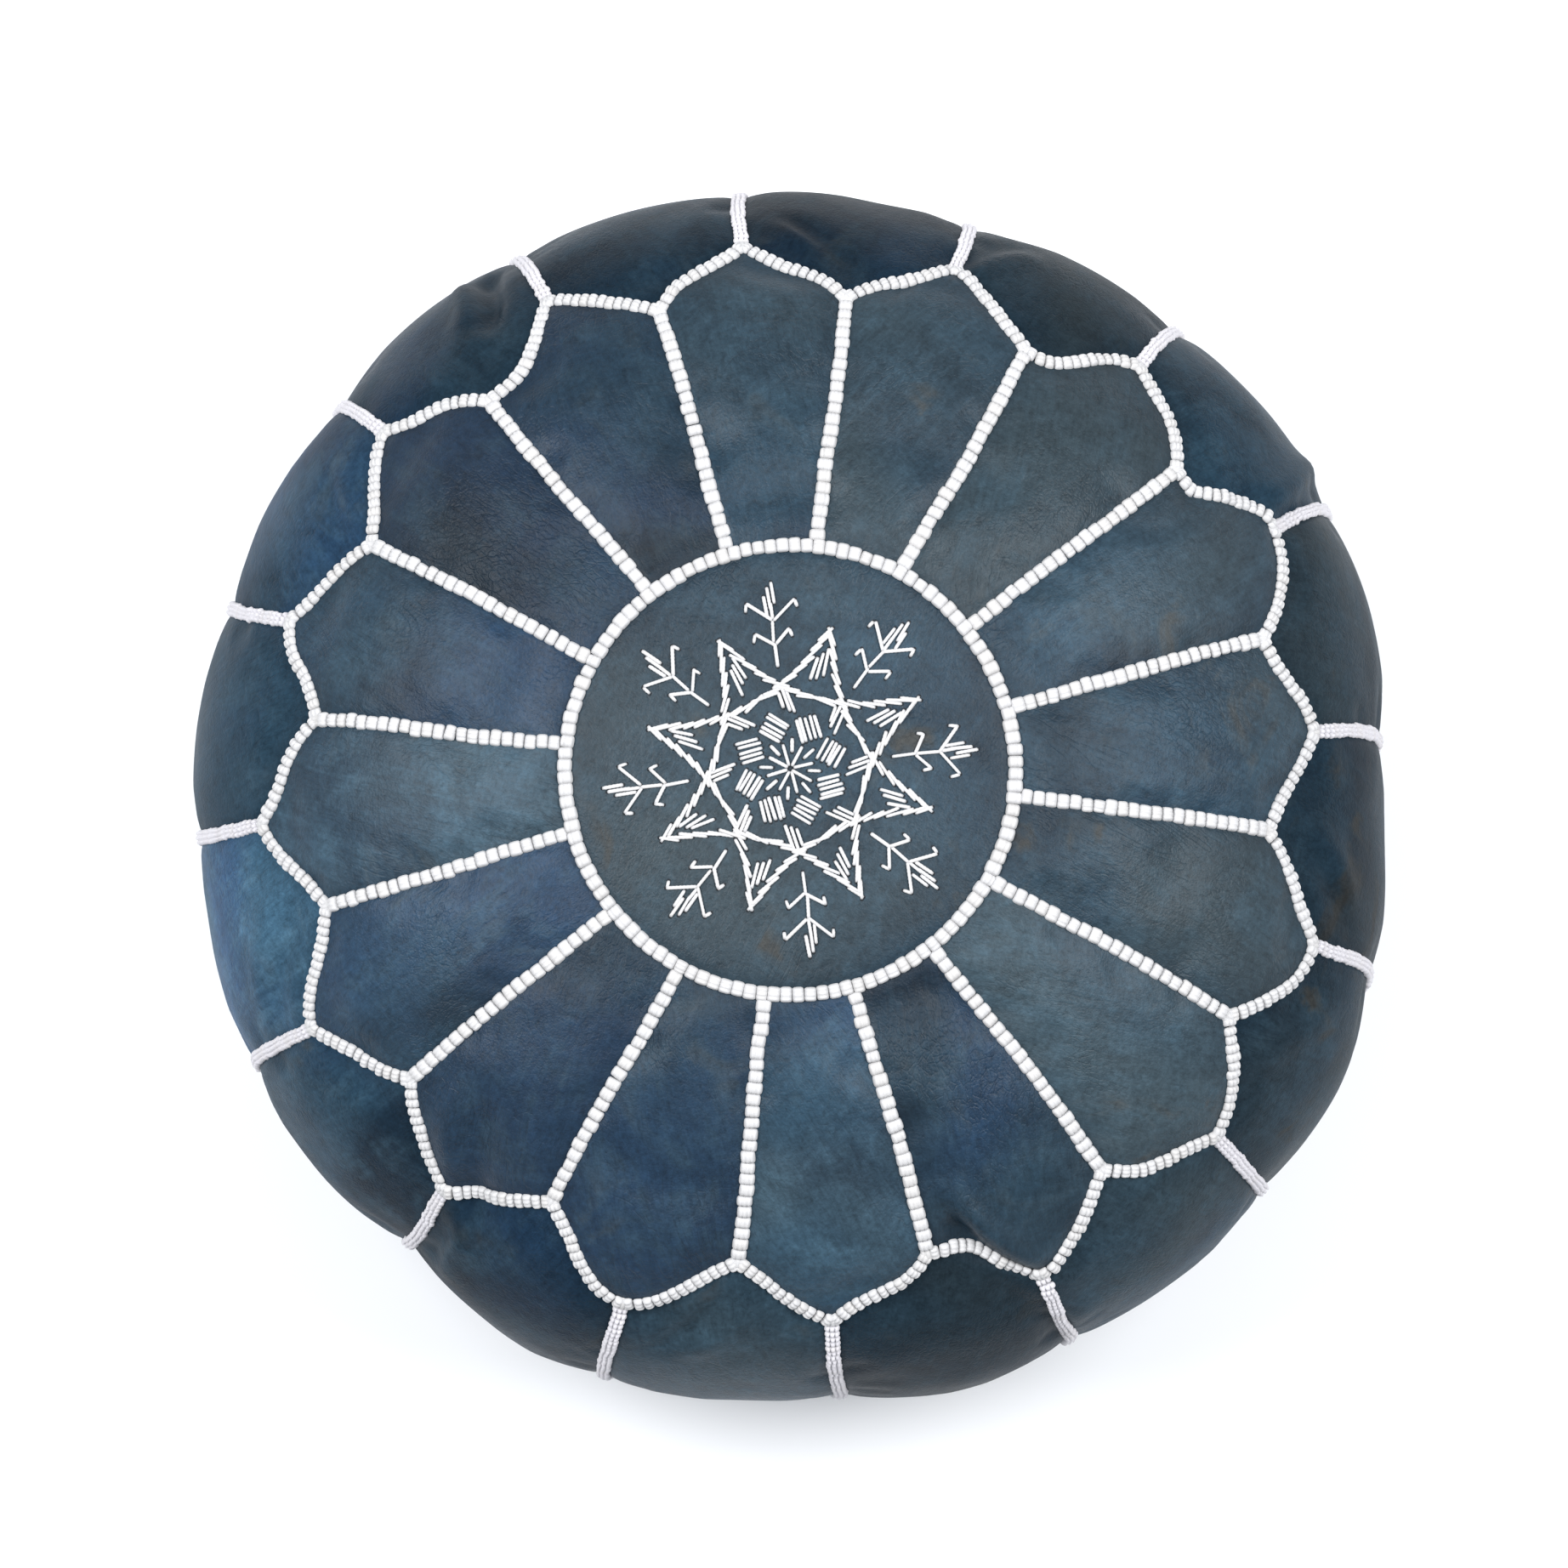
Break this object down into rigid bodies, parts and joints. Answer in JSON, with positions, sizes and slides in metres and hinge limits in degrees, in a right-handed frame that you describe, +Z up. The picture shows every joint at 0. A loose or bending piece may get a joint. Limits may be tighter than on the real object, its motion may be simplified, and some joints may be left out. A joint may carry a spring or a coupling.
{
  "type": "leather pouf",
  "caption": "Round stuffed leather floor pouf with petal-panelled top, corded white stitching, embroidered medallion, side panels and a zip in its base.",
  "frame": {"origin": "centre of the pouf's footprint, on the floor it stands on", "axes": "+Z up through the middle of the medallion, +X along the zip towards its closed end, -Y the front"},
  "size_m": [0.531, 0.531, 0.3309],
  "materials": {
    "petal_leather": "satin",
    "side_leather": "satin",
    "base_leather": "matte",
    "white_thread": "matte",
    "zip_tape": "matte",
    "zip_brass": "polished",
    "liner_cotton": "matte",
    "wadding": "matte"
  },
  "bodies": {
    "root": {"medallion": "petal_leather", "petal_01": "petal_leather", "petal_02": "petal_leather", "petal_03": "petal_leather", "petal_04": "petal_leather", "petal_05": "petal_leather", "petal_06": "petal_leather", "petal_07": "petal_leather", "petal_08": "petal_leather", "petal_09": "petal_leather", "petal_10": "petal_leather", "petal_11": "petal_leather", "petal_12": "petal_leather", "petal_13": "petal_leather", "petal_14": "petal_leather", "petal_15": "petal_leather", "petal_16": "petal_leather", "side_panel_01": "side_leather", "side_panel_02": "side_leather", "side_panel_03": "side_leather", "side_panel_04": "side_leather", "side_panel_05": "side_leather", "side_panel_06": "side_leather", "side_panel_07": "side_leather", "side_panel_08": "side_leather", "side_panel_09": "side_leather", "side_panel_10": "side_leather", "side_panel_11": "side_leather", "side_panel_12": "side_leather", "side_panel_13": "side_leather", "side_panel_14": "side_leather", "side_panel_15": "side_leather", "side_panel_16": "side_leather", "base_panel_front": "base_leather", "base_panel_rear": "base_leather", "base_seam_stitches": "white_thread", "medallion_cord_stitch": "white_thread", "petal_seam_cord_stitch": "white_thread", "petal_border_cord_stitch": "white_thread", "side_seam_flat_stitch": "white_thread", "star_embroidery": "white_thread", "rosette_embroidery": "white_thread", "frond_embroidery": "white_thread", "zip_topstitch": "white_thread", "zip_tape_front": "zip_tape", "zip_tape_rear": "zip_tape", "zip_teeth_front": "zip_brass", "zip_teeth_rear": "zip_brass", "zip_top_stops": "zip_brass", "zip_bottom_stop": "zip_brass", "liner_top": "liner_cotton", "liner_bottom": "liner_cotton", "filling": "wadding"},
    "slider": {"zip_slider": "zip_brass"},
    "pull_tab": {"zip_pull_tab": "zip_brass"}
  },
  "joints": [
    {"name": "slider_travel", "type": "slide", "parent": "root", "child": "slider", "axis": [-1, 0, 0], "range_m": [0, 0.254]},
    {"name": "tab_swing", "type": "hinge", "parent": "slider", "child": "pull_tab", "pos_m": [0.127, 0, 0.00605], "axis": [0, -1, 0], "range_deg": [-8, 160]}
  ]
}
